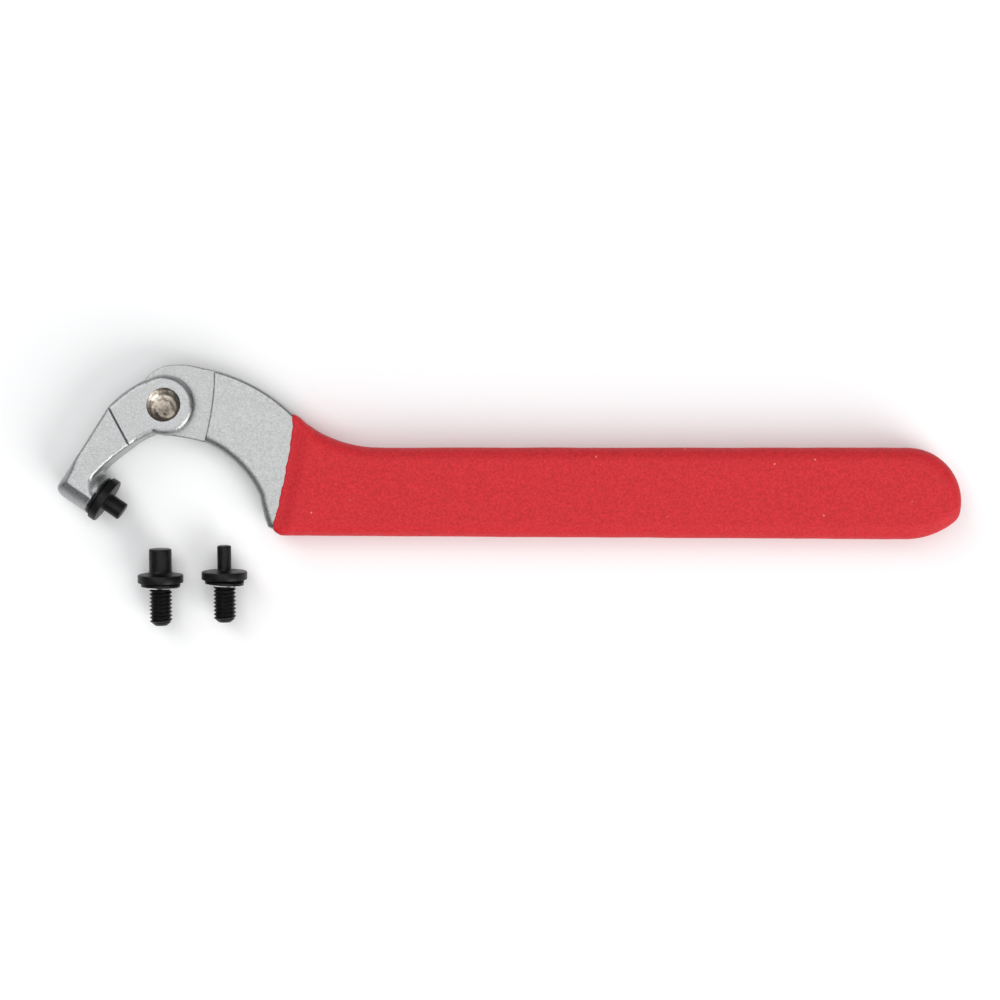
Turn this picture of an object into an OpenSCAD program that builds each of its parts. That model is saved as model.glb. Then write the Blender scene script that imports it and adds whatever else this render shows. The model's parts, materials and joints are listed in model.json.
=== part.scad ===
// Adjustable pin wrench with a hinged hook jaw, a screwed-in work pin and two spare pins.
// The tool lies on its side on the plane z = 0. Every outline is drawn from the pivot's axis,
// and at the end the whole part moves so that the frame's origin is the middle of its footprint.

/* [Handle] */
// Thickness of the steel plate that the body and the tang are cut from
plate_t = 6; // [5:0.5:7]
// Distance from the pivot's axis to the free end of the grip
grip_reach = 143.1; // [120:0.1:170]
// Distance of the grip's upper edge below the pivot's axis
grip_top = 7.6; // [7:0.05:8.5]
// Width of the grip where its straight stretch begins
grip_w = 15.9; // [15:0.1:17]
// How much wider the grip is at its free end
grip_flare = 0.65; // [0:0.05:1]
// Thickness of the dipped coating
dip_t = 1.2; // [0.8:0.1:1.5]
// Rounding of the coating's long edges
grip_edge_r = 2.6; // [1:0.1:3]

/* [Hook] */
// Radius of the body's back
back_r = 30.6; // [30:0.1:31]
// Radius of the throat that lies round the work
throat_r = 19.5; // [19:0.1:20]
// Thickness of the tongue that enters the jaw
tongue_t = 3; // [2.5:0.1:3.4]
// Radius of the round nose of the tongue
nose_r = 6.15; // [5.9:0.05:6.2]
// Radius of the milled shoulder between the tongue and the body
shoulder_r = 48.6; // [47:0.1:50]

/* [Jaw] */
// Thickness of the jaw's solid tip
tip_t = 8.4; // [8:0.1:9]
// Thickness across the two ears
ears_t = 7.5; // [7:0.1:7.9]
// Radius of the ears round the pivot
ear_r = 5.4; // [5:0.05:5.5]
// Distance from the pivot's axis to the step between the ears and the tip
step_reach = 8.7; // [8:0.1:10]
// Radius of the slot's floor round the pivot
slot_r = 6.4; // [6.3:0.05:6.8]
// Gap on each side of the tongue
slot_gap = 0.05; // [0.03:0.01:0.1]

/* [Pivot] */
// Diameter of the rivet's shank
rivet_d = 5; // [4:0.1:5.2]
// Diameter of the rivet's peened heads
rivet_head_d = 5.75; // [5.5:0.05:6]
// Depth of the heads' seats in the ears
rivet_head_t = 0.9; // [0.6:0.1:1.2]
// How far the crowned heads stand proud
rivet_crown = 0.25; // [0.1:0.05:0.4]

/* [Pins] */
// Diameter of the pin that is fitted in the jaw
work_pin_d = 3.2; // [2:0.1:4]
// Free length of the pin that is fitted in the jaw
work_pin_len = 3.3; // [2.5:0.1:5]
// Diameter of the larger spare pin
large_pin_d = 4; // [3.5:0.1:4.5]
// Diameter of the smaller spare pin
small_pin_d = 2.4; // [2:0.1:3]
// Free length of the spare pins
spare_pin_len = 4.65; // [3:0.05:5]
// Diameter of the pins' flange
flange_d = 8.2; // [8:0.1:8.4]
// Thickness of the pins' flange
flange_t = 1.5; // [1.2:0.1:1.8]
// Major diameter of the screw thread
thread_d = 4; // [3.5:0.1:4.2]
// Pitch of the screw thread
thread_pitch = 0.7; // [0.5:0.05:0.8]
// Length of the spare pins' screws below the flange
spare_screw_len = 7.7; // [7:0.1:8]
// Length of the fitted pin's screw, which ends flush with the jaw's outer side
work_screw_len = 7.2; // [7:0.1:8]
// Radial gap between the thread and the tapped hole
thread_gap = 0.05; // [0.02:0.01:0.1]
// Outer diameter of the split lock washers
washer_d = 7; // [6:0.1:7.4]
// Thickness of the split lock washers
washer_t = 0.8; // [0.6:0.1:1]
// Angle of the gap in the split lock washers
washer_split = 10; // [5:1:20]

/* [Spare pins] */
// How far left of the pivot the larger spare pin lies
large_pin_left = 1; // [0:0.1:4]
// How far right of the pivot the smaller spare pin lies
small_pin_right = 10.5; // [9:0.1:16]
// Distance of the larger pin's flange below the pivot's axis
large_pin_drop = 31.9; // [31:0.1:40]
// Distance of the smaller pin's flange below the pivot's axis
small_pin_drop = 31.3; // [31:0.1:40]
// Angle by which the screw end of a spare pin points down
spare_tilt = 5; // [0:1:15]

/* [Hidden] */
$fn = 96;

// Heights: every thickness is centred on the middle plane of the tool
grip_t = plate_t + 2 * dip_t;
mid_z = max(grip_t, tip_t) / 2;
reach = 200; // longer than anything that it cuts

// Arc centres of the body's outline, from the pivot's axis
back_c = [1.6, -23.5];
throat_c = [-0.7, -24.5];
throat_end_y = -16.2;
nose_c = [1.5, 1.1];
crown_c = [2.5, -6.9];
crown_r = 14.2;
belly_c = [-5.7, -56.2];
belly_r = 51.2;
shoulder_c = [9 - shoulder_r, 6.5];

// The neck is the concave sweep from the body's back to the straight grip
neck_c = [39.3, 16];
neck_r = neck_c[1] + grip_top;
steel_neck_c = [40.6, 16.4];
steel_neck_r = steel_neck_c[1] + grip_top + dip_t;
grip_start = [22.9, -1.7];
grip_bottom = grip_top + grip_w;
flare_angle = atan(grip_flare / (grip_reach - grip_start[0]));

// Two arcs shape the grip's free end
end_top_r = 9.65;
end_low_r = 14.3;
end_top_c = [grip_reach - end_top_r, -grip_top - end_top_r];
end_low_c = [grip_reach - 10.1, -grip_bottom - grip_flare + end_low_r];

// The work pin's axis, and where it leaves the jaw
pin_angle = -34.5;
seat_c = [-12.4, -16];
boss_r = 3.9;
boss_len = 1.1;
boss_root = 3;
jaw_corner_r = 2;
jaw_corner_c = [-17.1, -15];
step_angle = 208;

// Pins: the thread's form, the bevel at the screw's end, and the fillet at each pin's foot
thread_depth = 0.6 * thread_pitch;
screw_tip_len = 0.8;
screw_tip_drop = 0.9;
undercut_len = 0.2;
chamfer = 0.2;
work_pin_root_r = 0.2;
large_pin_root_r = 0.8;
small_pin_root_r = 0.4;

// The tongue's round end stays this far inside the ears
tongue_inset = 0.05;

// The frame's origin, from the pivot's axis
origin = [
    (grip_reach + jaw_corner_c[0] - jaw_corner_r) / 2,
    (crown_c[1] + crown_r - large_pin_drop - spare_screw_len) / 2,
    0
];

// Moves a finished piece from the pivot's axis to the frame
module in_frame() {
    translate(-origin) children();
}

// A slab of thickness t, centred on the middle plane
module slab(t) {
    translate([0, 0, mid_z - t / 2]) linear_extrude(t) children();
}

// Puts a pin's own axis, +Z from the screw to the free end, on the jaw's tapped hole,
// with z = 0 on the jaw's seat
module on_jaw() {
    translate([seat_c[0], seat_c[1], mid_z]) rotate([0, 0, pin_angle]) rotate([0, 90, 0]) children();
}

// Lays a pin beside the tool on its flange, with z = 0 under the flange
module on_table(x, y) {
    translate([x, y, flange_d / 2 * cos(spare_tilt)]) rotate([spare_tilt - 90, 0, 0]) children();
}

// The throat: an arc, then a straight run down to the heel
module throat_outline() {
    intersection() {
        translate(throat_c) circle(throat_r);
        translate([-reach / 2, throat_end_y]) square(reach);
    }
    polygon([
        [-20, throat_end_y], [16.9, throat_end_y], [17.8, -20], [18.4, -21.8],
        [19.4, -22.5], [19.4, -26], [-20, -26]
    ]);
}

// The flat steel body: hook, neck and tang, with the coating's thickness left off
module plate_outline() {
    difference() {
        intersection() {
            union() {
                intersection() {
                    translate(back_c) circle(back_r);
                    translate([0, -grip_bottom + dip_t]) square([grip_start[0] + 0.1, reach]);
                }
                polygon([
                    grip_start, [steel_neck_c[0], grip_start[1]],
                    [steel_neck_c[0], -grip_top - dip_t], [grip_reach, -grip_top - dip_t],
                    [grip_reach, -grip_bottom - grip_flare + dip_t], [19, -grip_bottom + dip_t]
                ]);
            }
            grip_end(dip_t);
        }
        translate(steel_neck_c) circle(steel_neck_r);
        throat_outline();
    }
}

// Everything left of the grip's rounded free end, drawn inwards by inset
module grip_end(inset) {
    translate([-reach / 2, -reach / 2]) square([end_low_c[0] + reach / 2, reach]);
    intersection() {
        translate(end_top_c) circle(end_top_r - inset);
        translate(end_low_c) circle(end_low_r - inset);
    }
}

// The tongue that the jaw turns on
module tongue_outline() {
    difference() {
        union() {
            circle(ear_r - tongue_inset);
            translate(nose_c) circle(nose_r);
            intersection() {
                translate(back_c) circle(back_r);
                polygon([[7, 12], [12, 12], [12, -5], [7.6, -7], [-1, -7], [-1, 0], [7, 0]]);
            }
            intersection() {
                translate(crown_c) circle(crown_r);
                translate([nose_c[0] - 1, 0]) square([8, 12]);
            }
        }
        translate(belly_c) circle(belly_r);
    }
}

// The outside of the coating, seen from above
module grip_outline() {
    intersection() {
        difference() {
            polygon([
                grip_start, [22.9, -6], [19.5, -22.3], [20.5, -grip_bottom + 0.3], [21.8, -grip_bottom],
                [grip_reach, -grip_bottom - grip_flare], [grip_reach, -grip_top],
                [neck_c[0], -grip_top], [neck_c[0], grip_start[1]], [25.4, grip_start[1]], [24.2, -2.2]
            ]);
            translate(neck_c) circle(neck_r);
        }
        grip_end(0);
    }
}

// A long bar whose two edges at y = 0 are rounded; it lies on the negative side of y
module edge_bar() {
    rotate([90, 0, 90]) linear_extrude(reach) union() {
        translate([-reach, 0]) square([reach - grip_edge_r, grip_t]);
        translate([-grip_edge_r, grip_edge_r]) square([grip_edge_r, grip_t - 2 * grip_edge_r]);
        translate([-grip_edge_r, grip_edge_r]) circle(grip_edge_r);
        translate([-grip_edge_r, grip_t - grip_edge_r]) circle(grip_edge_r);
    }
}

// The jaw's outline: a round ear and an arm that ends just short of the pin's flange
module jaw_outline() {
    along = [cos(pin_angle), sin(pin_angle)];
    across = [-along[1], along[0]];
    end_c = seat_c - boss_len * along;
    end_out = end_c - boss_r * across;
    corner = jaw_corner_c - jaw_corner_r * across;
    circle(ear_r);
    translate(jaw_corner_c) circle(jaw_corner_r);
    polygon([
        [-3.1, 4.42], [-6.4, 2.7], [-9.2, 0.5], [-9.75, -0.15], [-14.65, -7.9],
        jaw_corner_c + jaw_corner_r * [-0.83, 0.55], jaw_corner_c, corner, end_out,
        end_c + boss_r * across, [-11.9, -12.3], [-8.8, -9.3], [-5.2, -6.7], [-1.9, -5.05], [0, 0]
    ]);
}

// The part of the plane beyond the step, on the tip's side
module beyond_step() {
    rotate(step_angle) translate([step_reach, -reach / 2]) square([reach, reach]);
}

// The whole pin, turned about its own axis: screw, undercut, flange, root fillet, free end
module flanged_pin(d, len, root_r, screw_len) {
    crests = floor((screw_len - washer_t - screw_tip_len) / thread_pitch);
    first = -screw_len + screw_tip_len;
    core_r = thread_d / 2 - thread_depth;
    rotate_extrude() difference() {
        polygon(concat(
            [[0, -screw_len], [thread_d / 2 - screw_tip_drop, -screw_len], [core_r, first - undercut_len]],
            [for (i = [0:crests - 1]) each [
                [core_r, first + i * thread_pitch],
                [thread_d / 2, first + (i + 0.45) * thread_pitch],
                [thread_d / 2, first + (i + 0.55) * thread_pitch]
            ]],
            [
                [core_r, first + crests * thread_pitch],
                [core_r, 0],
                [flange_d / 2 - chamfer, 0], [flange_d / 2, chamfer],
                [flange_d / 2, flange_t - chamfer], [flange_d / 2 - chamfer, flange_t],
                [d / 2 + root_r, flange_t], [d / 2, flange_t + root_r],
                [d / 2, flange_t + len - chamfer], [d / 2 - chamfer, flange_t + len],
                [0, flange_t + len]
            ]
        ));
        translate([d / 2 + root_r, flange_t + root_r]) circle(root_r, $fn = 48);
    }
}

// A flat split ring that lies under a flange
module lock_washer() {
    translate([0, 0, -washer_t]) rotate(washer_split / 2) rotate_extrude(angle = 360 - washer_split)
        translate([thread_d / 2 + 0.1, 0]) square([(washer_d - thread_d) / 2 - 0.1, washer_t]);
}

module handle_body() {
    color([0.76, 0.77, 0.77]) in_frame() difference() {
        union() {
            slab(plate_t) difference() {
                plate_outline();
                translate(shoulder_c) circle(shoulder_r);
            }
            slab(tongue_t) tongue_outline();
        }
        cylinder(d = rivet_d + 2 * slot_gap, h = reach, center = true);
    }
}

module dipped_grip() {
    color([0.82, 0.2, 0.22]) in_frame() difference() {
        intersection() {
            slab(grip_t) grip_outline();
            union() {
                translate([0, -reach / 2, 0]) cube([neck_c[0], reach, grip_t]);
                translate([0, -grip_top, mid_z - grip_t / 2]) edge_bar();
            }
            translate([grip_start[0], -grip_bottom, mid_z - grip_t / 2]) rotate([0, 0, -flare_angle])
                translate([-reach / 4, 0, 0]) mirror([0, 1, 0]) edge_bar();
            translate([grip_reach, reach / 2, mid_z - grip_t / 2]) rotate([0, 0, -90]) edge_bar();
        }
        slab(plate_t) plate_outline();
    }
}

module hook_jaw() {
    color([0.78, 0.79, 0.79]) in_frame() difference() {
        union() {
            slab(ears_t) difference() {
                jaw_outline();
                beyond_step();
            }
            slab(tip_t) intersection() {
                jaw_outline();
                beyond_step();
            }
            on_jaw() translate([0, 0, -boss_root]) cylinder(r = boss_r, h = boss_root);
        }
        slab(tongue_t + 2 * slot_gap) union() {
            circle(slot_r);
            translate([-3, -reach / 2]) square([reach, reach]);
        }
        cylinder(d = rivet_d, h = reach, center = true);
        rivet_heads();
        on_jaw() translate([0, 0, -reach / 4]) cylinder(r = thread_d / 2 + thread_gap, h = reach);
    }
}

// The two peened heads, sunk into the ears and crowned
module rivet_heads() {
    head_r = rivet_head_d / 2;
    dome_r = (head_r * head_r + rivet_crown * rivet_crown) / (2 * rivet_crown);
    for (side = [0, 1]) translate([0, 0, mid_z]) mirror([0, 0, side])
        translate([0, 0, ears_t / 2]) intersection() {
            translate([0, 0, -rivet_head_t]) cylinder(r = head_r, h = rivet_head_t + rivet_crown);
            translate([0, 0, rivet_crown - dome_r]) sphere(dome_r);
        }
}

module pivot_rivet() {
    color([0.66, 0.62, 0.56]) in_frame() union() {
        translate([0, 0, mid_z]) cylinder(d = rivet_d, h = ears_t - rivet_head_t, center = true);
        rivet_heads();
    }
}

module work_pin() {
    color([0.13, 0.13, 0.14]) in_frame() on_jaw() translate([0, 0, washer_t])
        flanged_pin(work_pin_d, work_pin_len, work_pin_root_r, work_screw_len);
}

module work_pin_lock_washer() {
    color([0.16, 0.16, 0.17]) in_frame() on_jaw() translate([0, 0, washer_t]) lock_washer();
}

module large_spare_pin() {
    color([0.13, 0.13, 0.14]) in_frame() on_table(-large_pin_left, -large_pin_drop)
        flanged_pin(large_pin_d, spare_pin_len, large_pin_root_r, spare_screw_len);
}

module large_spare_lock_washer() {
    color([0.16, 0.16, 0.17]) in_frame() on_table(-large_pin_left, -large_pin_drop) lock_washer();
}

module small_spare_pin() {
    color([0.13, 0.13, 0.14]) in_frame() on_table(small_pin_right, -small_pin_drop)
        flanged_pin(small_pin_d, spare_pin_len, small_pin_root_r, spare_screw_len);
}

module small_spare_lock_washer() {
    color([0.16, 0.16, 0.17]) in_frame() on_table(small_pin_right, -small_pin_drop) lock_washer();
}

handle_body();
dipped_grip();
hook_jaw();
pivot_rivet();
work_pin();
work_pin_lock_washer();
large_spare_pin();
large_spare_lock_washer();
small_spare_pin();
small_spare_lock_washer();
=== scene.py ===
import json
import math

import bpy
import numpy as np
from mathutils import Matrix, Vector, noise


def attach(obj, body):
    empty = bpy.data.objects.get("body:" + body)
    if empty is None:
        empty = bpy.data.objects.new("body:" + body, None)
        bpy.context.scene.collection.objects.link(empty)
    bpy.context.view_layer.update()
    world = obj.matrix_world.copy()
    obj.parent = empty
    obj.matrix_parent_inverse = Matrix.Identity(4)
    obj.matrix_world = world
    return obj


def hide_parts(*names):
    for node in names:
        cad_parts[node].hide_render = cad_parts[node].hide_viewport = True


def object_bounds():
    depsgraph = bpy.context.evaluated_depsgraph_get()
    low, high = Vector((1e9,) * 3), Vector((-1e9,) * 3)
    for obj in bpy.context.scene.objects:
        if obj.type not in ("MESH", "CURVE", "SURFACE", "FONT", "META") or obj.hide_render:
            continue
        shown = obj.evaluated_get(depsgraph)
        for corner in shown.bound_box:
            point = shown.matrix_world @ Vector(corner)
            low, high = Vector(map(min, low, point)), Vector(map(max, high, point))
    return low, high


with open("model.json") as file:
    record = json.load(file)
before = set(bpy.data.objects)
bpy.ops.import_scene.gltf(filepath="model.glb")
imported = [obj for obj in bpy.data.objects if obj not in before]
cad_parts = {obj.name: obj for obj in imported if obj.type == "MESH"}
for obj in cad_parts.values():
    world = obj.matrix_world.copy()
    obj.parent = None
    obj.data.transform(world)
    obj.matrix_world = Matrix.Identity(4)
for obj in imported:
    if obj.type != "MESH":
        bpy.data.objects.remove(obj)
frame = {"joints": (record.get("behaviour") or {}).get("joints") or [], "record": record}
cad_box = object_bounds()

# Shapes are worked out in millimetres from the jaw's pivot, on the tool's middle plane,
# and placed in the frame, in metres, as each mesh is made.
MM = 0.001
JOINTS = {joint["name"]: joint for joint in frame["joints"]}
MOUNTS = {mount["name"]: mount for mount in frame["record"]["mounts"]}
PIVOT = Vector(JOINTS["jaw_pivot"]["pos_m"])


# ---------------------------------------------------------------- camera, floor and light

CAMERA_FROM_PIVOT = (0.06011, -0.017, 0.446)
LENS_MM = 89.2

camera_data = bpy.data.cameras.new("camera")
camera_data.lens = LENS_MM
camera_data.sensor_width = 36
camera_data.clip_start = 0.01
camera_data.clip_end = 20
camera = bpy.data.objects.new("camera", camera_data)
camera.location = PIVOT + Vector(CAMERA_FROM_PIVOT)  # straight above the tool, looking down
bpy.context.scene.collection.objects.link(camera)
bpy.context.scene.camera = camera
bpy.context.scene.view_settings.view_transform = "Standard"
bpy.context.scene.view_settings.look = "None"


def soft_light(name, location, size, radiance):
    """A round area light that faces the part, of the given radiance."""
    data = bpy.data.lights.new(name, "AREA")
    data.shape = "DISK"
    data.size = size
    data.energy = radiance * (math.pi * size / 2) ** 2
    lamp = bpy.data.objects.new(name, data)
    lamp.location = location
    lamp.rotation_mode = "QUATERNION"
    lamp.rotation_quaternion = (-lamp.location).to_track_quat("-Z", "Y")
    bpy.context.scene.collection.objects.link(lamp)
    return lamp


soft_light("overhead", (0, 0, 1.4), 1.7, 1.45)
soft_light("key", (1.1, -1.1, 0.95), 1.4, 4.6)
soft_light("back", (-1.0, 1.0, 1.4), 1.3, 2.3)

world = bpy.data.worlds.new("studio")
world.use_nodes = True
world.node_tree.nodes["Background"].inputs["Color"].default_value = (0.95, 0.97, 1, 1)
world.node_tree.nodes["Background"].inputs["Strength"].default_value = 0.26
bpy.context.scene.world = world


def make_floor():
    """The pale table that the part lies on."""
    data = bpy.data.meshes.new("floor")
    half, z = 12.0, cad_box[0].z
    corners = [(-half, -half, z), (half, -half, z), (half, half, z), (-half, half, z)]
    data.from_pydata(corners, [], [(0, 1, 2, 3)])
    floor = bpy.data.objects.new("floor", data)
    bpy.context.scene.collection.objects.link(floor)
    look = bpy.data.materials.new("pale_table")
    look.use_nodes = True
    shader = look.node_tree.nodes["Principled BSDF"]
    shader.inputs["Base Color"].default_value = (0.95, 0.95, 0.95, 1)
    shader.inputs["Roughness"].default_value = 0.9
    shader.inputs["Specular IOR Level"].default_value = 0.1
    data.materials.append(look)


make_floor()


# ---------------------------------------------------------------- shapes from distance fields

def smooth(low, high, value):
    """0 at low, 1 at high, with an even ramp between them."""
    t = np.clip((value - low) / (high - low), 0, 1)
    return t * t * (3 - 2 * t)


def mix(a, b, share):
    return a + (b - a) * share


def arc(centre, radius, start, end, pieces=20):
    """Points along an arc, from one angle to the other in degrees."""
    angles = np.radians(np.linspace(start, end, pieces + 1))
    return [(centre[0] + radius * math.cos(a), centre[1] + radius * math.sin(a)) for a in angles]


def angle_of(centre, point):
    """The direction of a point from a centre, in degrees."""
    return math.degrees(math.atan2(point[1] - centre[1], point[0] - centre[0]))


def from_outline(points, x, y):
    """Distance from a closed outline, negative inside it."""
    nearest = np.full(np.broadcast(x, y).shape, np.inf)
    inside = np.zeros(nearest.shape, bool)
    for (ax, ay), (bx, by) in zip(points, points[1:] + points[:1]):
        ex, ey = bx - ax, by - ay
        if ex * ex + ey * ey < 1e-12:
            continue
        t = np.clip(((x - ax) * ex + (y - ay) * ey) / (ex * ex + ey * ey), 0, 1)
        nearest = np.minimum(nearest, (x - ax - t * ex) ** 2 + (y - ay - t * ey) ** 2)
        if ey:
            inside ^= ((ay > y) != (by > y)) & (x < ax + (y - ay) * ex / ey)
    return np.where(inside, -1, 1) * np.sqrt(nearest)


def cut(a, b, radius):
    """What two shapes share, with its edge rounded to a radius."""
    corner = np.hypot(np.maximum(a + radius, 0), np.maximum(b + radius, 0))
    return np.minimum(-radius, np.maximum(a, b)) + corner


def join(a, b, radius):
    """Two shapes together, with a fillet of a radius between them."""
    corner = np.hypot(np.maximum(radius - a, 0), np.maximum(radius - b, 0))
    return np.maximum(radius, np.minimum(a, b)) - corner


def net(values, axes):
    """Points and four-sided faces of the surface where a field on a grid passes zero."""
    values = np.where(np.abs(values) < 0.001, 0.001, values)  # so that no grid point lies on the surface
    cells = np.array(values.shape) - 1
    cell_of, place, faces = [], [], []
    for axis in range(3):
        u, v = (axis + 1) % 3, (axis + 2) % 3
        step = np.eye(3, dtype=int)[axis]
        low = values[tuple(slice(0, -1) if i == axis else slice(None) for i in range(3))]
        high = values[tuple(slice(1, None) if i == axis else slice(None) for i in range(3))]
        at = np.argwhere((low < 0) != (high < 0))
        a, b = values[tuple(at.T)], values[tuple((at + step).T)]
        points = np.stack([axes[i][at[:, i]] for i in range(3)], 1)
        points[:, axis] += a / (a - b) * (axes[axis][at[:, axis] + 1] - points[:, axis])
        corners = []
        for du, dv in ((0, 0), (-1, 0), (-1, -1), (0, -1)):
            cell = at.copy()
            cell[:, u] += du
            cell[:, v] += dv
            corners.append(np.ravel_multi_index(tuple(cell.T), cells))
            cell_of.append(corners[-1])
            place.append(points)
        face = np.stack(corners, 1)
        face[a > 0] = face[a > 0][:, ::-1]
        faces.append(face)
    used, index = np.unique(np.concatenate(cell_of), return_inverse=True)
    place = np.concatenate(place)
    count = np.bincount(index)
    points = np.stack([np.bincount(index, place[:, i]) / count for i in range(3)], 1)
    return points, np.searchsorted(used, np.concatenate(faces))


def steps(*stops):
    """Grid positions: steps(0, 0.2, 10, 1, 20) goes from 0 to 10 by about 0.2, then to 20 by about 1."""
    line = [np.array([stops[0]], float)]
    for start, size, end in zip(stops[0:-1:2], stops[1::2], stops[2::2]):
        line.append(np.linspace(start, end, max(2, round((end - start) / size) + 1))[1:])
    return np.concatenate(line)


def settle(field, points):
    """Moves points onto the surface where a field is zero, in two short moves."""
    nudge, reach = 0.01, 0.05
    for _ in range(2):
        x, y, z = points.T
        value = field(x, y, z)
        slope = np.stack([
            (field(x + nudge * i, y + nudge * j, z + nudge * k) - value) / nudge
            for i, j, k in np.eye(3)
        ], 1)
        steepness = np.maximum((slope ** 2).sum(1), 0.2)
        points = points + np.clip(-slope * (value / steepness)[:, None], -reach, reach)
    return points


def to_object(name, points, faces, base=PIVOT, turn=None, sharp_deg=None):
    """A mesh object from points in millimetres, turned and then moved to base in the frame."""
    points = np.array(points, float)
    if turn is not None:
        points = points @ np.array(turn).T
    data = bpy.data.meshes.new(name)
    data.from_pydata((points * MM + np.array(base)).tolist(), [], [list(map(int, face)) for face in faces])
    data.validate()
    data.shade_smooth()
    if sharp_deg:
        data.set_sharp_from_angle(angle=math.radians(sharp_deg))
    made = bpy.data.objects.new(name, data)
    bpy.context.scene.collection.objects.link(made)
    return made


def from_field(name, field, axes, ripple=None):
    """A closed mesh of a distance field, with an optional fine change of its points."""
    x, y, z = axes
    values = field(x[:, None, None], y[None, :, None], z[None, None, :])
    points, faces = net(values, axes)
    points = settle(field, points)
    if ripple:
        points = ripple(points)
    return to_object(name, points, faces)


# ---------------------------------------------------------------- sizes, in millimetres

# Half thicknesses, from the middle plane
PLATE_HALF = 3.0
TONGUE_HALF = 1.5
SLOT_HALF = 1.55
TIP_HALF = 4.2
EARS_HALF = 3.75

COAT = 1.2
SHANK_R = 2.5
SHANK_GAP = 0.05

# Arcs of the handle's outline, each by its centre and radius
BACK_C, BACK_R = (1.6, -23.5), 30.6
THROAT_C, THROAT_R = (-0.7, -24.5), 19.5
SHOULDER_C, SHOULDER_R = (-39.6, 6.5), 48.6
NECK_C, NECK_R = (38.7, 15.5), 23.1
STEEL_NECK_C, STEEL_NECK_R = (40.6, 16.4), 25.2
GRIP_REACH, GRIP_TOP, GRIP_BOTTOM, GRIP_FLARE = 142.8, 7.6, 23.4, 0.65
END_TOP_R, END_LOW_R, END_R = 9.65, 14.3, 3.2
END_TOP_C = (GRIP_REACH - END_TOP_R, -GRIP_TOP - END_TOP_R)
END_LOW_C = (GRIP_REACH - 10.1, -GRIP_BOTTOM - GRIP_FLARE + END_LOW_R)
HEEL = [(16.9, -16.2), (17.3, -18), (17.95, -20.3), (18.5, -21.8), (19.4, -22.3)]


def free_end(inset):
    """The grip's rounded free end, from its lower edge round to its upper edge."""
    low_r, top_r = END_LOW_R - END_R, END_TOP_R - END_R
    gap = math.dist(END_LOW_C, END_TOP_C)
    # The small arc between the two large ones has its centre where both, drawn smaller, cross
    along = (low_r ** 2 - top_r ** 2 + gap ** 2) / (2 * gap)
    aside = math.sqrt(low_r ** 2 - along ** 2)
    ux, uy = (END_TOP_C[0] - END_LOW_C[0]) / gap, (END_TOP_C[1] - END_LOW_C[1]) / gap
    centre = max(
        (END_LOW_C[0] + ux * along - uy * side, END_LOW_C[1] + uy * along + ux * side)
        for side in (aside, -aside)
    )
    low, high = angle_of(END_LOW_C, centre), angle_of(END_TOP_C, centre)
    return (
        arc(END_LOW_C, END_LOW_R - inset, -90, low)
        + arc(centre, END_R - inset, low, high, 8)
        + arc(END_TOP_C, END_TOP_R - inset, high, 90)
    )


# ---------------------------------------------------------------- handle body

NECK_START = (22.9, -1.53)
THROAT_EDGE_R, BACK_EDGE_R = 1.45, 0.55  # how far the plate's edges are rounded
SHOULDER_EDGE_R, TONGUE_EDGE_R, TONGUE_FILLET_R = 0.16, 0.12, 0.15

THROAT_OUTLINE = (
    arc(THROAT_C, THROAT_R, angle_of(THROAT_C, HEEL[0]), 150, 40)
    + [(-16, -30), (19.4, -30)] + HEEL[::-1]
)
# The plate's outline runs on past the shoulder, which cuts it off
PLATE_OUTLINE = (
    arc(THROAT_C, THROAT_R, angle_of(THROAT_C, (2, -5.2)), angle_of(THROAT_C, HEEL[0]), 24)
    + HEEL[1:]
    + free_end(COAT)
    + arc(STEEL_NECK_C, STEEL_NECK_R, -90, angle_of(STEEL_NECK_C, NECK_START))
    + arc(BACK_C, BACK_R, angle_of(BACK_C, NECK_START), angle_of(BACK_C, (2, 7.1)))
)

NOSE_C, NOSE_R = (1.5, 1.1), 6.15
CROWN_C, CROWN_R = (2.5, -6.9), 14.2
BELLY_C, BELLY_R = (-5.7, -56.2), 51.2
TONGUE_OUTLINE = (
    arc(NOSE_C, NOSE_R, 100, 200)
    + arc((0, 0), 5.35, 200, 258, 12)
    + arc(BELLY_C, BELLY_R, 85, 75, 12)
    + [(12, -4.5), (12, 5.2)]
    + arc(BACK_C, BACK_R, angle_of(BACK_C, (12, 5.2)), angle_of(BACK_C, (7.4, 6.5)), 8)
    + arc(CROWN_C, CROWN_R, angle_of(CROWN_C, (7.2, 6.5)), angle_of(CROWN_C, (0.6, 7.2)), 12)
)


def steel_field(x, y, z):
    """The forged plate with its thinner milled tongue and the hole for the rivet."""
    plate = from_outline(PLATE_OUTLINE, x, y)
    to_throat = from_outline(THROAT_OUTLINE, x, y)
    to_shoulder = np.hypot(x - SHOULDER_C[0], y - SHOULDER_C[1]) - SHOULDER_R
    edge = mix(THROAT_EDGE_R, BACK_EDGE_R, smooth(1.6, 3.4, to_throat))
    body = cut(cut(np.abs(z) - PLATE_HALF, plate, edge), -to_shoulder, SHOULDER_EDGE_R)
    tongue = cut(np.abs(z) - TONGUE_HALF, from_outline(TONGUE_OUTLINE, x, y), TONGUE_EDGE_R)
    return np.maximum(join(body, tongue, TONGUE_FILLET_R), SHANK_R + SHANK_GAP - np.hypot(x, y))


# ---------------------------------------------------------------- dipped grip

LIP_START = 22.95
LIP_MID = -5.0
LIP_COAT, LIP_ROUND_R = 0.38, 0.28  # the coating's thickness at its lip, and the lip's rounding
LIP_EDGE_R, COAT_EDGE_R = 0.8, 2.6  # how far its long edges are rounded, at the lip and beyond it
LAP = 0.25  # how far the coating runs into the steel, out of sight


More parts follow.
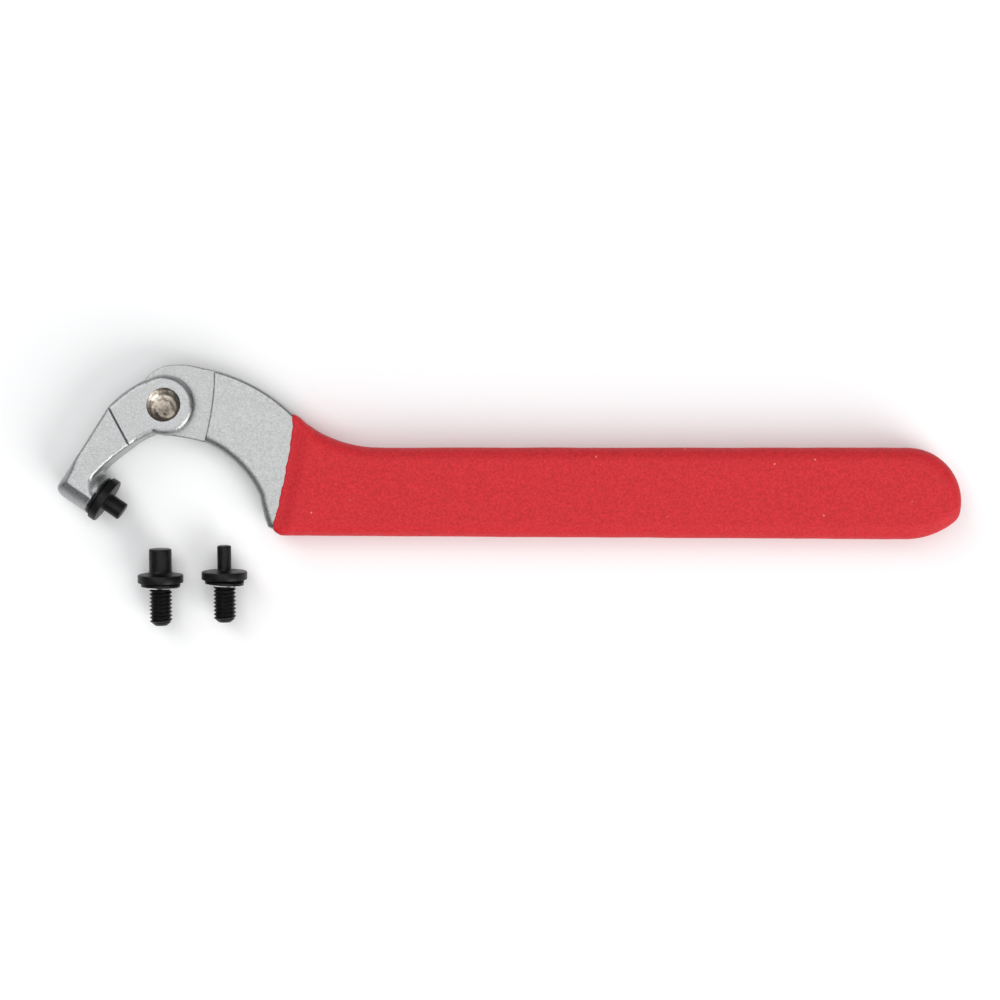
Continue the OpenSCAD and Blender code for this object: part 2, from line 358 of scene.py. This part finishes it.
def lip_x(y):
    """Where the coating starts, at each height: a leaning edge that wanders a little, as dipped ones do."""
    down = np.maximum(LIP_MID - y, 0)
    wander = 0.07 * np.sin(1.3 * y) + 0.045 * np.sin(3.1 * y + 1) + 0.012 * np.sin(8.3 * y + 2)
    return LIP_START - 0.148 * down - 0.0034 * down ** 2 + wander


GRIP_OUTLINE = (
    [(10, -1.5), (22.9, -1.5), (23.6, -1.85), (24.3, -2.4)]
    + arc(NECK_C, NECK_R, angle_of(NECK_C, (25.0, -3.1)), -90)
    + free_end(0)[::-1]
    + [(21.9, -GRIP_BOTTOM), (20.9, -23.35), (20.1, -22.9), (19.5, -22.35), (19, -21.9), (10, -21.9)]
)


def grip_field(x, y, z):
    """The coating: thin at its lip, full a few millimetres on, and hollow for the steel."""
    behind = (x - lip_x(y)) * 0.98  # a little less than along x, because the lip leans
    half = PLATE_HALF + mix(LIP_COAT, COAT, smooth(0, 3.6, behind))
    edge = mix(LIP_EDGE_R, COAT_EDGE_R, smooth(0, 4.5, behind))
    coat = cut(np.abs(z) - half, from_outline(GRIP_OUTLINE, x, y), edge)
    coat = cut(coat, -behind, LIP_ROUND_R)
    return np.maximum(coat, -LAP - plate_only(x, y, z))


def plate_only(x, y, z):
    """The plate inside the coating, with even edges."""
    return cut(np.abs(z) - PLATE_HALF, from_outline(PLATE_OUTLINE, x, y), 0.45)


def dipped(points):
    """The slight unevenness that a dipped coating sets with."""
    moved = points.copy()
    for i, (x, y, z) in enumerate(points):
        across = -GRIP_BOTTOM + 1.0 < y < -GRIP_TOP - 1.0 and x < GRIP_REACH - 2
        hidden = across and abs(z) < PLATE_HALF - 0.2
        if not hidden:
            broad = noise.noise((x * 0.16, y * 0.22, z * 0.2))
            fine = noise.noise((x * 0.7, y * 0.7, z * 0.7))
            swell = 0.05 * broad + 0.02 * fine
            moved[i, 2] += swell * (1 if z > 0 else -1) * (0 if z < -4 else 1)  # its underside stays flat
            moved[i, 1] += swell * (1 if y > -15 else -1)
    return moved


# ---------------------------------------------------------------- jaw

PIN_AXIS = np.array(JOINTS["work_pin_turn"]["axis"])
SEAT = np.array(JOINTS["work_pin_turn"]["pos_m"]) / MM - np.array(PIVOT) / MM
EAR_R = 5.4
TOP_C, TOP_R = (4.87, -13.72), 20.0
CORNER_C, CORNER_R = (-17.1, -15), 2.0
NOOK_C, NOOK_R = (-9.65, -14.8), 3.43
STEP_A, STEP_B = (-9.62, -0.41), (-5.88, -7.37)
BOSS_R, BOSS_DEPTH = 3.85, 5.0
END_ROUND_R, END_ROUND_ASIDE = 4.49, 0.69  # about an axis beside the pin's
SLOT_R, SLOT_MOUTH_X = 6.4, -3
SEAT_R, SEAT_Z = 2.9, 2.85
TAPPED_R = 2.05
EAR_EDGE_R, ARM_EDGE_R, CORNER_EDGE_R = 1.05, 0.75, 2.0  # how far the jaw's edges are rounded


def on_pin(along, aside):
    """A point by its distance along the pin's axis from the seat, and aside towards the jaw's outer end."""
    return (
        SEAT[0] + along * PIN_AXIS[0] + aside * PIN_AXIS[1],
        SEAT[1] + along * PIN_AXIS[1] - aside * PIN_AXIS[0],
    )


pin_deg = math.degrees(math.atan2(PIN_AXIS[1], PIN_AXIS[0]))
JAW_OUTLINE = (
    arc((0, 0), EAR_R, -110, 122, 40)
    + arc(TOP_C, TOP_R, 114.7, 134.5, 8)
    + [(-9.75, -0.15), (-14.65, -7.9)]
    + arc(CORNER_C, CORNER_R, 146, 270 + pin_deg, 12)
    + [on_pin(0.6, 3.8), on_pin(0.6, 0.7), (-13.08, -15.6)]
    + arc(NOOK_C, NOOK_R, 180, 133, 10)
    + [(-10.35, -10.66), (-8.8, -9.35), (-7.1, -8.1), (-5.24, -6.75), (-3.5, -5.8)]
)


def jaw_field(x, y, z):
    """The forged jaw: two ears, a stepped arm, and a round seat for the pin."""
    along = (x - SEAT[0]) * PIN_AXIS[0] + (y - SEAT[1]) * PIN_AXIS[1]
    aside = (x - SEAT[0]) * PIN_AXIS[1] - (y - SEAT[1]) * PIN_AXIS[0]
    run = math.dist(STEP_A, STEP_B)
    past_step = ((x - STEP_A[0]) * (STEP_B[1] - STEP_A[1]) - (y - STEP_A[1]) * (STEP_B[0] - STEP_A[0])) / run
    half = mix(EARS_HALF, TIP_HALF, smooth(0, 0.3, past_step))
    near_corner = smooth(7.5, 13.5, past_step) * smooth(-4.5, -1, aside) * smooth(0, -4, along)
    tip_edge = mix(ARM_EDGE_R, CORNER_EDGE_R, near_corner)
    edge = mix(EAR_EDGE_R, tip_edge, smooth(-1.5, 0, past_step))
    body = cut(np.abs(z) - half, from_outline(JAW_OUTLINE, x, y), edge)
    body = cut(body, np.hypot(np.maximum(aside + END_ROUND_ASIDE, 0), z) - END_ROUND_R, 0.2)
    boss = np.maximum(cut(np.hypot(aside, z) - BOSS_R, -along - BOSS_DEPTH, 0.2), aside - 0.5)
    body = np.maximum(join(body, boss, 0.85), np.abs(z) - TIP_HALF)
    body = cut(body, np.minimum(along, aside + 4.7), 0.2)
    from_axis = np.hypot(x, y)
    slot = np.maximum(np.abs(z) - SLOT_HALF, np.minimum(from_axis - SLOT_R, SLOT_MOUTH_X - x))
    body = cut(body, -slot, 0.2)
    rivet_seat = np.minimum(from_axis - SHANK_R, np.maximum(from_axis - SEAT_R, SEAT_Z - np.abs(z)))
    body = cut(body, -rivet_seat, 0.08)
    return np.maximum(body, TAPPED_R - np.hypot(aside, z))


# ---------------------------------------------------------------- turned parts

def lathe(name, heights, radii, base, turn, sharp_deg=28):
    """A closed turned mesh: radii has a row for each height and a column for each angle."""
    rows, columns = radii.shape
    angles = np.linspace(0, 2 * math.pi, columns, endpoint=False)
    ring = np.stack([
        radii * np.cos(angles), radii * np.sin(angles), np.broadcast_to(heights[:, None], radii.shape),
    ], 2).reshape(-1, 3)
    points = np.concatenate([ring, [[0, 0, heights[0]], [0, 0, heights[-1]]]])
    low, high = rows * columns, rows * columns + 1
    faces = []
    for column in range(columns):
        right = (column + 1) % columns
        faces.append((low, right, column))
        top = (rows - 1) * columns
        faces.append((high, top + column, top + right))
        for row in range(rows - 1):
            a, b = row * columns, (row + 1) * columns
            faces.append((a + column, a + right, b + right, b + column))
    return to_object(name, points, faces, base, turn, sharp_deg)


FLANGE_T = 1.5
THREAD_R, THREAD_PITCH, THREAD_DEPTH = 2.02, 0.7, 0.36
THREAD_STOP = 0.35  # how far short of the flange the thread stops
CREST_SHARE, FLANKS_SHARE = 0.06, 0.82  # of the pitch; the rest is the groove's flat root
BEVEL_DEPTH, BEVEL_SLOPE = 0.9, 1.15  # at the screw's end
FLANGE_CORNER, PIN_CORNER = 0.22, 0.25
WASHER_T = 0.8
COLUMNS = 72  # points round a turned pin


def rounded_corner(height, radius, size, turn_in):
    """Three profile points round a corner: turn_in is 1 at a part's lower face and -1 at its upper one."""
    side = [
        (height + turn_in * size, radius),
        (height + turn_in * size * 0.3, radius - size * 0.3),
        (height, radius - size),
    ]
    return side[::-1] if turn_in > 0 else side


def flanged_pin(name, flange_r, pin_r, pin_len, root_r, screw_len, base, turn):
    """A turned pin with a flange and a true helical thread."""
    angles = np.linspace(0, 2 * math.pi, COLUMNS, endpoint=False)
    screw = np.arange(-screw_len, -THREAD_STOP, THREAD_PITCH / 14)
    turns = (screw[:, None] / THREAD_PITCH - angles / (2 * math.pi)) % 1
    groove = np.clip((np.abs(turns - 0.5) * 2 - CREST_SHARE) / FLANKS_SHARE, 0, 1)
    runout = smooth(-THREAD_STOP, -1.0, screw)[:, None]
    threaded = THREAD_R - THREAD_DEPTH * mix(1, groove, runout)
    bevel = THREAD_R - BEVEL_DEPTH + (screw + screw_len) * BEVEL_SLOPE
    radii = [np.minimum(threaded, bevel[:, None])]
    heights = [screw]
    core = THREAD_R - THREAD_DEPTH
    top = FLANGE_T + pin_len
    fillet = [
        (FLANGE_T + root_r * (1 - math.cos(a)), pin_r + root_r * (1 - math.sin(a)))
        for a in np.linspace(0, math.pi / 2, 8)
    ]
    profile = (
        [(-0.3, core), (-0.02, core), (0, core + 0.05)]
        + rounded_corner(0, flange_r, FLANGE_CORNER, 1)
        + rounded_corner(FLANGE_T, flange_r, FLANGE_CORNER, -1)
        + fillet
        + [(FLANGE_T + root_r + 0.02, pin_r), (top - 0.4, pin_r)]
        + rounded_corner(top, pin_r, PIN_CORNER, -1)
    )
    for height, radius in profile:
        heights.append(np.array([height]))
        radii.append(np.full((1, COLUMNS), radius))
    return lathe(name, np.concatenate(heights), np.concatenate(radii), base, turn)


def lock_washer(name, outer, spring, base, turn):
    """A split ring of square wire, with its free end sprung away from the flange."""
    inner, chamfer = THREAD_R + 0.08, 0.19
    section = [
        (inner, -chamfer), (inner, -WASHER_T + chamfer), (inner + chamfer, -WASHER_T),
        (outer - chamfer, -WASHER_T), (outer, -WASHER_T + chamfer), (outer, -chamfer),
        (outer - chamfer, 0), (inner + chamfer, 0),
    ]
    sweep = np.linspace(math.radians(5), math.radians(355), 90)
    lift = -spring * smooth(math.radians(190), math.radians(355), sweep)
    points = [
        (radius * math.cos(a), radius * math.sin(a), height + drop)
        for a, drop in zip(sweep, lift) for radius, height in section
    ]
    n = len(section)
    faces = [
        (i * n + j, i * n + (j + 1) % n, (i + 1) * n + (j + 1) % n, (i + 1) * n + j)
        for i in range(len(sweep) - 1) for j in range(n)
    ]
    faces.append(tuple(range(n))[::-1])
    faces.append(tuple(range((len(sweep) - 1) * n, len(sweep) * n)))
    ring = to_object(name, points, faces, base, turn, 28)
    ring.data.materials.append(black)
    ring.data.materials.append(worn_edge)
    for i in range(len(sweep) - 1):
        ring.data.polygons[i * n + 3].material_index = 1  # the outer chamfer, away from the flange
    return ring


def pin_turn(axis, side):
    """The rotation that lays a pin's own +Z along axis, and its own +X as near side as it can be."""
    z = Vector(axis).normalized()
    y = z.cross(Vector(side)).normalized()
    x = y.cross(z)
    return Matrix((x, y, z)).transposed()


def from_mount(mount, pin_len, root_r):
    """Where the flange of a loose pin starts, worked out from the mount at the middle of its free end."""
    bare = (root_r + pin_len - 0.2) / 2
    return Vector(mount["pos_m"]) - Vector(mount["axis"]) * (FLANGE_T + bare) * MM


def peened_rivet():
    """The rivet: a shank and two dished heads that a rolling tool has marked with rings."""
    rim, dish, top = 2.88, 0.62, EARS_HALF + 0.02
    deepest = (0.45, -0.55)  # the punch came down a little off the middle
    columns, rings = 96, 48
    angles = np.linspace(0, 2 * math.pi, columns, endpoint=False)
    spread = np.linspace(0, 1, rings) ** 0.8
    cos, sin = np.cos(angles), np.sin(angles)
    towards = deepest[0] * cos + deepest[1] * sin
    rays = -towards + np.sqrt(towards ** 2 + rim ** 2 - deepest[0] ** 2 - deepest[1] ** 2)
    rows = []
    for r in spread[1:]:
        x, y = deepest[0] + r * rays * cos, deepest[1] + r * rays * sin
        wave = np.sin(r * rays * 5.2 - angles + 0.8 * sin) * smooth(0, 0.2, r)
        uneven = np.array([noise.noise((a, b, 4.2)) for a, b in zip(x, y)])
        z = top - dish * (1 - r ** 3.2) + (0.04 * wave + 0.1 * uneven) * (1 - r ** 6)
        rows.append(np.stack([x, y, z], 1))
    cap = np.concatenate(rows)
    n = len(cap)
    centre = rows[0].mean(0)[None]
    points = np.concatenate([cap, cap * (1, 1, -1), centre, centre * (1, 1, -1)])
    faces = []
    for c in range(columns):
        d = (c + 1) % columns
        faces += [(2 * n, c, d), (2 * n + 1, n + d, n + c)]
        for row in range(rings - 2):
            a, b = row * columns, (row + 1) * columns
            faces += [(a + c, b + c, b + d, a + d), (n + a + d, n + b + d, n + b + c, n + a + c)]
        last = (rings - 2) * columns
        faces.append((last + c, n + last + c, n + last + d, last + d))
    return to_object("peened_rivet", points, faces, sharp_deg=50)


# ---------------------------------------------------------------- materials

class Look:
    """A node material in millimetre-scaled object coordinates."""

    def __init__(self, name):
        self.material = bpy.data.materials.new(name)
        self.material.use_nodes = True
        self.tree = self.material.node_tree
        self.shader = self.tree.nodes["Principled BSDF"]
        coordinates = self.tree.nodes.new("ShaderNodeTexCoord")
        scaled = self.tree.nodes.new("ShaderNodeMapping")
        scaled.inputs["Scale"].default_value = (1000, 1000, 1000)
        self.tree.links.new(coordinates.outputs["Object"], scaled.inputs["Vector"])
        self.place = scaled.outputs["Vector"]

    def set(self, **values):
        for name, value in values.items():
            self.shader.inputs[name].default_value = value
        return self

    def noise(self, per_mm, detail=3, rough=0.55, distort=0, stretch=None):
        node = self.tree.nodes.new("ShaderNodeTexNoise")
        node.inputs["Scale"].default_value = per_mm
        node.inputs["Detail"].default_value = detail
        node.inputs["Roughness"].default_value = rough
        node.inputs["Distortion"].default_value = distort
        place = self.place
        if stretch:
            squeeze = self.tree.nodes.new("ShaderNodeMapping")
            squeeze.inputs["Scale"].default_value = stretch
            self.tree.links.new(place, squeeze.inputs["Vector"])
            place = squeeze.outputs["Vector"]
        self.tree.links.new(place, node.inputs["Vector"])
        return node.outputs["Fac"]

    def spots(self, per_mm, size):
        """Small round marks, 1 in the middle of each and 0 between them."""
        node = self.tree.nodes.new("ShaderNodeTexVoronoi")
        node.inputs["Scale"].default_value = per_mm
        self.tree.links.new(self.place, node.inputs["Vector"])
        return self.ramp(node.outputs["Distance"], 0.5 * size, size, 1, 0)

    def along(self, direction):
        """How far each point is along a direction, in millimetres from the pivot."""
        node = self.tree.nodes.new("ShaderNodeVectorMath")
        node.operation = "DOT_PRODUCT"
        node.inputs[1].default_value = direction
        self.tree.links.new(self.place, node.inputs[0])
        start = PIVOT.dot(Vector(direction)) / MM
        return self.ramp(node.outputs["Value"], start - 50, start + 50, -50, 50)

    def ramp(self, value, low, high, to_low, to_high):
        node = self.tree.nodes.new("ShaderNodeMapRange")
        numbers = {"From Min": low, "From Max": high, "To Min": to_low, "To Max": to_high}
        for socket, number in numbers.items():
            node.inputs[socket].default_value = number
        self.tree.links.new(value, node.inputs["Value"])
        return node.outputs["Result"]

    def blend(self, share, a, b):
        """A colour between a and b, each a colour or an output."""
        node = self.tree.nodes.new("ShaderNodeMix")
        node.data_type = "RGBA"
        for socket, value in (("A", a), ("B", b)):
            target = next(s for s in node.inputs if s.name == socket and s.type == "RGBA")
            if isinstance(value, tuple):
                target.default_value = (*value, 1)
            else:
                self.tree.links.new(value, target)
        self.tree.links.new(share, node.inputs["Factor"])
        return next(s for s in node.outputs if s.type == "RGBA")

    def link(self, output, socket):
        self.tree.links.new(output, self.shader.inputs[socket])
        return self

    def bump(self, *layers):
        """Layers of (height output, depth in millimetres), coarse ones first."""
        normal = None
        for height, depth in layers:
            node = self.tree.nodes.new("ShaderNodeBump")
            node.inputs["Distance"].default_value = depth * MM
            self.tree.links.new(height, node.inputs["Height"])
            if normal:
                self.tree.links.new(normal, node.inputs["Normal"])
            normal = node.outputs["Normal"]
        return self.link(normal, "Normal")


def blasted_steel(name, tint, grain):
    look = Look(name).set(Metallic=1.0)
    fine, broad = look.noise(3.0, 4, 0.75), look.noise(0.5, 3)
    dark, bright = tuple(t * 0.72 for t in tint), tuple(t * 1.26 for t in tint)
    look.link(look.blend(look.ramp(fine, 0.3, 0.7, 0, 1), dark, bright), "Base Color")
    look.link(look.ramp(look.noise(1.5, 3), 0.3, 0.7, 0.26, 0.4), "Roughness")
    return look.bump((broad, 0.03), (fine, grain)).material


def red_dip():
    look = Look("red_dip").set(**{"Specular IOR Level": 0.35})
    grain, cloud = look.noise(2.3, 5, 0.75), look.noise(0.12, 3, 0.6)
    red = look.blend(look.ramp(grain, 0.36, 0.64, 0, 1), (0.47, 0.004, 0.009), (0.69, 0.022, 0.032))
    red = look.blend(look.ramp(look.noise(0.3, 4, 0.7), 0.6, 0.75, 0, 0.5), red, (0.42, 0.018, 0.018))
    red = look.blend(look.spots(0.28, 0.052), red, (0.8, 0.3, 0.18))
    look.link(red, "Base Color")
    look.link(look.ramp(grain, 0.3, 0.7, 0.5, 0.68), "Roughness")
    return look.bump((cloud, 0.2), (grain, 0.09)).material


def rivet_steel():
    look = Look("rivet_steel").set(Metallic=1.0)
    streak = look.noise(0.8, 3, 0.5, 1.5)
    tint = look.blend(look.ramp(streak, 0.35, 0.65, 0, 1), (0.24, 0.2, 0.16), (0.56, 0.505, 0.435))
    # Painted shade: both rivet heads turn darker towards one side, along (0.45, -0.9, 0) from the pivot, in
    # place of the shade that falls on that side of their dishes.
    tint = look.blend(look.ramp(look.along((0.45, -0.9, 0)), -1.3, 0.9, 0, 0.75), tint, (0.13, 0.11, 0.09))
    look.link(tint, "Base Color")
    look.link(look.ramp(look.noise(3, 2), 0.3, 0.7, 0.24, 0.42), "Roughness")
    return look.bump((look.noise(1.2, 2), 0.03), (look.noise(6, 2), 0.008)).material


def black_oxide():
    look = Look("black_oxide").set(**{"Specular IOR Level": 0.17})
    film = look.noise(1.2, 4, 0.6)
    black = look.blend(look.ramp(film, 0.3, 0.75, 0, 1), (0.003, 0.003, 0.0035), (0.011, 0.01, 0.011))
    look.link(black, "Base Color")
    look.link(look.ramp(look.noise(2.5, 3), 0.3, 0.7, 0.26, 0.44), "Roughness")
    return look.bump((look.noise(5, 3), 0.012)).material


def worn_oxide():
    """Oxide that rubbing has taken off an edge in places."""
    look = Look("worn_oxide").set(Metallic=1.0)
    wear = look.ramp(look.noise(0.8, 3), 0.35, 0.6, 0, 1)
    look.link(look.blend(wear, (0.05, 0.048, 0.047), (0.78, 0.78, 0.78)), "Base Color")
    look.link(look.ramp(look.noise(2.5, 3), 0.3, 0.7, 0.2, 0.36), "Roughness")
    return look.bump((look.noise(4, 2), 0.01)).material


# ---------------------------------------------------------------- the pieces

def finish_piece(piece, body, node, look):
    if look:
        piece.data.materials.append(look)
    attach(piece, body)
    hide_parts(node)


plate_steel = blasted_steel("plate_steel", (0.38, 0.385, 0.38), 0.05)
jaw_steel = blasted_steel("jaw_steel", (0.385, 0.39, 0.39), 0.05)
red = red_dip()
rivet_look = rivet_steel()
black = black_oxide()
worn_edge = worn_oxide()

# Each grid reaches past its piece, and is coarser where the shape changes little
steel = from_field("steel_body", steel_field, (
    steps(-5.6, 0.2, 26, 1.0, 128, 0.4, 143),
    steps(-25, 0.2, 8),
    steps(-3.6, 0.2, 3.6),
))
finish_piece(steel, "handle", "handle_body", plate_steel)

grip = from_field("red_coating", grip_field, (
    steps(18.2, 0.18, 28, 0.3, 38, 1.0, 125, 0.4, 144),
    steps(-25.2, 0.2, -21, 0.3, -9, 0.2, -0.6),
    steps(-4.8, 0.18, 4.8),
), dipped)
finish_piece(grip, "handle", "dipped_grip", red)

jaw = from_field("forged_jaw", jaw_field, (
    steps(-20, 0.17, 6.2),
    steps(-20, 0.17, 6.2),
    steps(-4.8, 0.17, 4.8),
))
finish_piece(jaw, "jaw", "hook_jaw", jaw_steel)

finish_piece(peened_rivet(), "jaw", "pivot_rivet", rivet_look)

# Flange radius, pin radius, pin length, radius of the fillet at its foot, screw length
WORK_PIN = (4.2, 1.65, 3.3, 0.2, 7.2)
LARGE_PIN = (4.1, 2.03, 4.65, 0.8, 7.7)
SMALL_PIN = (4.1, 1.26, 4.65, 0.4, 7.7)

work_turn = pin_turn(PIN_AXIS, (0, 0, -1))
work_base = Vector(JOINTS["work_pin_turn"]["pos_m"]) + Vector(PIN_AXIS) * WASHER_T * MM
finish_piece(
    flanged_pin("work_pin_turned", *WORK_PIN, work_base, work_turn),
    "jaw_pin", "work_pin", black,
)
finish_piece(
    lock_washer("work_washer_ring", 3.75, 0.0, work_base, work_turn),
    "jaw_lock_washer", "work_pin_lock_washer", None,
)
for size, pin, spring in (("large", LARGE_PIN, 0.12), ("small", SMALL_PIN, 0.4)):
    mount = MOUNTS[f"{size}_spare_pin_end"]
    turn = pin_turn(mount["axis"], (1, 0, 0))
    base = from_mount(mount, pin_len=pin[2], root_r=pin[3])
    finish_piece(
        flanged_pin(f"{size}_pin_turned", *pin, base, turn),
        f"{size}_spare", f"{size}_spare_pin", black,
    )
    finish_piece(
        lock_washer(f"{size}_washer_ring", 3.5, spring, base, turn),
        f"{size}_spare", f"{size}_spare_lock_washer", None,
    )
